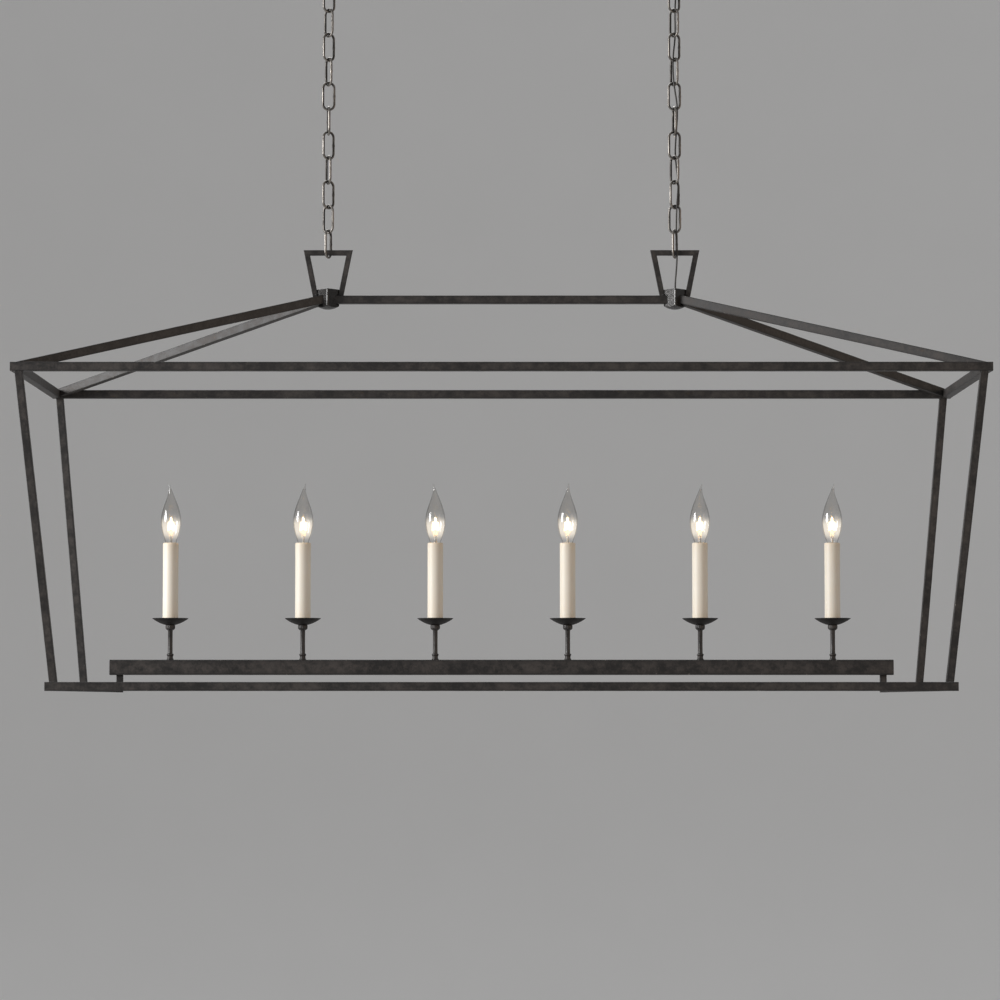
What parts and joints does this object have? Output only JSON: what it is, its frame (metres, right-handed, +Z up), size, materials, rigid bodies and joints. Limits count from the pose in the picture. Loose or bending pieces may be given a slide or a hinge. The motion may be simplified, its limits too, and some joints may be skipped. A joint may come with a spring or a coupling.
{
  "type": "linear island pendant",
  "caption": "Open iron lantern for candle lamps, longer than deep, that hangs from the ceiling on two chains with round canopies.",
  "frame": {"origin": "on the ceiling, midway between the two canopies", "axes": "+X along the lantern, +Y from its front to its back, +Z up to the ceiling"},
  "size_m": [1.372, 0.432, 1.1285],
  "materials": {
    "aged_iron": "aged, near-black with a mottled grey-brown patina and lighter worn edges",
    "chain_steel": "burnished dark steel, brighter on the outside of each link",
    "zinc_steel": "dull zinc plate",
    "cord_black": "matt dark plastic",
    "candle_ivory": "satin ivory, slightly amber at the edges",
    "socket_plastic": "dark moulded plastic",
    "clear_glass": "clear, polished",
    "lamp_brass": "nickelled brass screw shell with a glass mount and a warm filament"
  },
  "bodies": {
    "ceiling": {"ceiling_straps": "zinc_steel", "canopy_nipples": "zinc_steel", "lock_nuts": "zinc_steel", "canopy_left": "aged_iron", "canopy_right": "aged_iron", "canopy_loop_left": "aged_iron", "canopy_loop_right": "aged_iron", "cord_top": "cord_black"},
    "top_link_left": {"top_link_left": "chain_steel"},
    "top_link_right": {"top_link_right": "chain_steel"},
    "chain_left": {"chain_left": "chain_steel"},
    "chain_right": {"chain_right": "chain_steel", "cord_run": "cord_black"},
    "bottom_link_left": {"bottom_link_left": "chain_steel"},
    "bottom_link_right": {"bottom_link_right": "chain_steel"},
    "lantern": {"top_rail_front": "aged_iron", "top_rail_back": "aged_iron", "top_rail_left": "aged_iron", "top_rail_right": "aged_iron", "bottom_rail_front": "aged_iron", "bottom_rail_back": "aged_iron", "bottom_rail_left": "aged_iron", "bottom_rail_right": "aged_iron", "post_front_left": "aged_iron", "post_front_right": "aged_iron", "post_back_left": "aged_iron", "post_back_right": "aged_iron", "hip_front_left": "aged_iron", "hip_front_right": "aged_iron", "hip_back_left": "aged_iron", "hip_back_right": "aged_iron", "ridge_bar": "aged_iron", "hub_left": "aged_iron", "hub_right": "aged_iron", "hanger_left": "aged_iron", "hanger_right": "aged_iron", "light_bar": "aged_iron", "light_bar_caps": "aged_iron", "stub_left": "aged_iron", "stub_right": "aged_iron", "braces_left": "aged_iron", "braces_right": "aged_iron", "candle_stems": "aged_iron", "drip_pans": "aged_iron", "light_bar_wires": "cord_black", "candle_sleeves": "candle_ivory", "lamp_sockets": "socket_plastic", "cord_drop": "cord_black"},
    "bulb_1": {"bulb_1_glass": "clear_glass", "bulb_1_base": "lamp_brass"},
    "bulb_2": {"bulb_2_glass": "clear_glass", "bulb_2_base": "lamp_brass"},
    "bulb_3": {"bulb_3_glass": "clear_glass", "bulb_3_base": "lamp_brass"},
    "bulb_4": {"bulb_4_glass": "clear_glass", "bulb_4_base": "lamp_brass"},
    "bulb_5": {"bulb_5_glass": "clear_glass", "bulb_5_base": "lamp_brass"},
    "bulb_6": {"bulb_6_glass": "clear_glass", "bulb_6_base": "lamp_brass"}
  },
  "joints": [
    {"name": "front_swing", "type": "hinge", "parent": "ceiling", "child": "top_link_right", "pos_m": [0.254, 0, -0.0563], "axis": [1, 0, 0], "range_deg": [-20, 20], "deforming": ["cord_top"]},
    {"name": "front_swing_left", "type": "hinge", "parent": "ceiling", "child": "top_link_left", "pos_m": [-0.254, 0, -0.0563], "axis": [1, 0, 0], "range_deg": [-20, 20]},
    {"name": "side_swing", "type": "hinge", "parent": "top_link_right", "child": "chain_right", "pos_m": [0.254, 0, -0.09195], "axis": [0, 1, 0], "range_deg": [-20, 20], "deforming": ["cord_run"]},
    {"name": "side_swing_left", "type": "hinge", "parent": "top_link_left", "child": "chain_left", "pos_m": [-0.254, 0, -0.09195], "axis": [0, 1, 0], "range_deg": [-20, 20]},
    {"name": "chain_foot_right", "type": "hinge", "parent": "chain_right", "child": "bottom_link_right", "pos_m": [0.254, 0, -0.4521], "axis": [0, 1, 0], "range_deg": [-20, 20]},
    {"name": "chain_foot_left", "type": "hinge", "parent": "chain_left", "child": "bottom_link_left", "pos_m": [-0.254, 0, -0.4521], "axis": [0, 1, 0], "range_deg": [-20, 20]},
    {"name": "lantern_tilt", "type": "hinge", "parent": "bottom_link_right", "child": "lantern", "pos_m": [0.254, 0, -0.48553], "axis": [1, 0, 0], "range_deg": [-15, 15], "deforming": ["cord_drop"]},
    {"name": "bulb_1_out", "type": "slide", "parent": "lantern", "child": "bulb_1", "axis": [0, 0, 1], "range_m": [0, 0.045]},
    {"name": "bulb_2_out", "type": "slide", "parent": "lantern", "child": "bulb_2", "axis": [0, 0, 1], "range_m": [0, 0.045]},
    {"name": "bulb_3_out", "type": "slide", "parent": "lantern", "child": "bulb_3", "axis": [0, 0, 1], "range_m": [0, 0.045]},
    {"name": "bulb_4_out", "type": "slide", "parent": "lantern", "child": "bulb_4", "axis": [0, 0, 1], "range_m": [0, 0.045]},
    {"name": "bulb_5_out", "type": "slide", "parent": "lantern", "child": "bulb_5", "axis": [0, 0, 1], "range_m": [0, 0.045]},
    {"name": "bulb_6_out", "type": "slide", "parent": "lantern", "child": "bulb_6", "axis": [0, 0, 1], "range_m": [0, 0.045]}
  ],
  "couplings": [
    {"joint": "front_swing_left", "follows": "front_swing", "ratio": 1},
    {"joint": "side_swing_left", "follows": "side_swing", "ratio": 1},
    {"joint": "chain_foot_right", "follows": "side_swing", "ratio": -1},
    {"joint": "chain_foot_left", "follows": "side_swing", "ratio": -1}
  ]
}
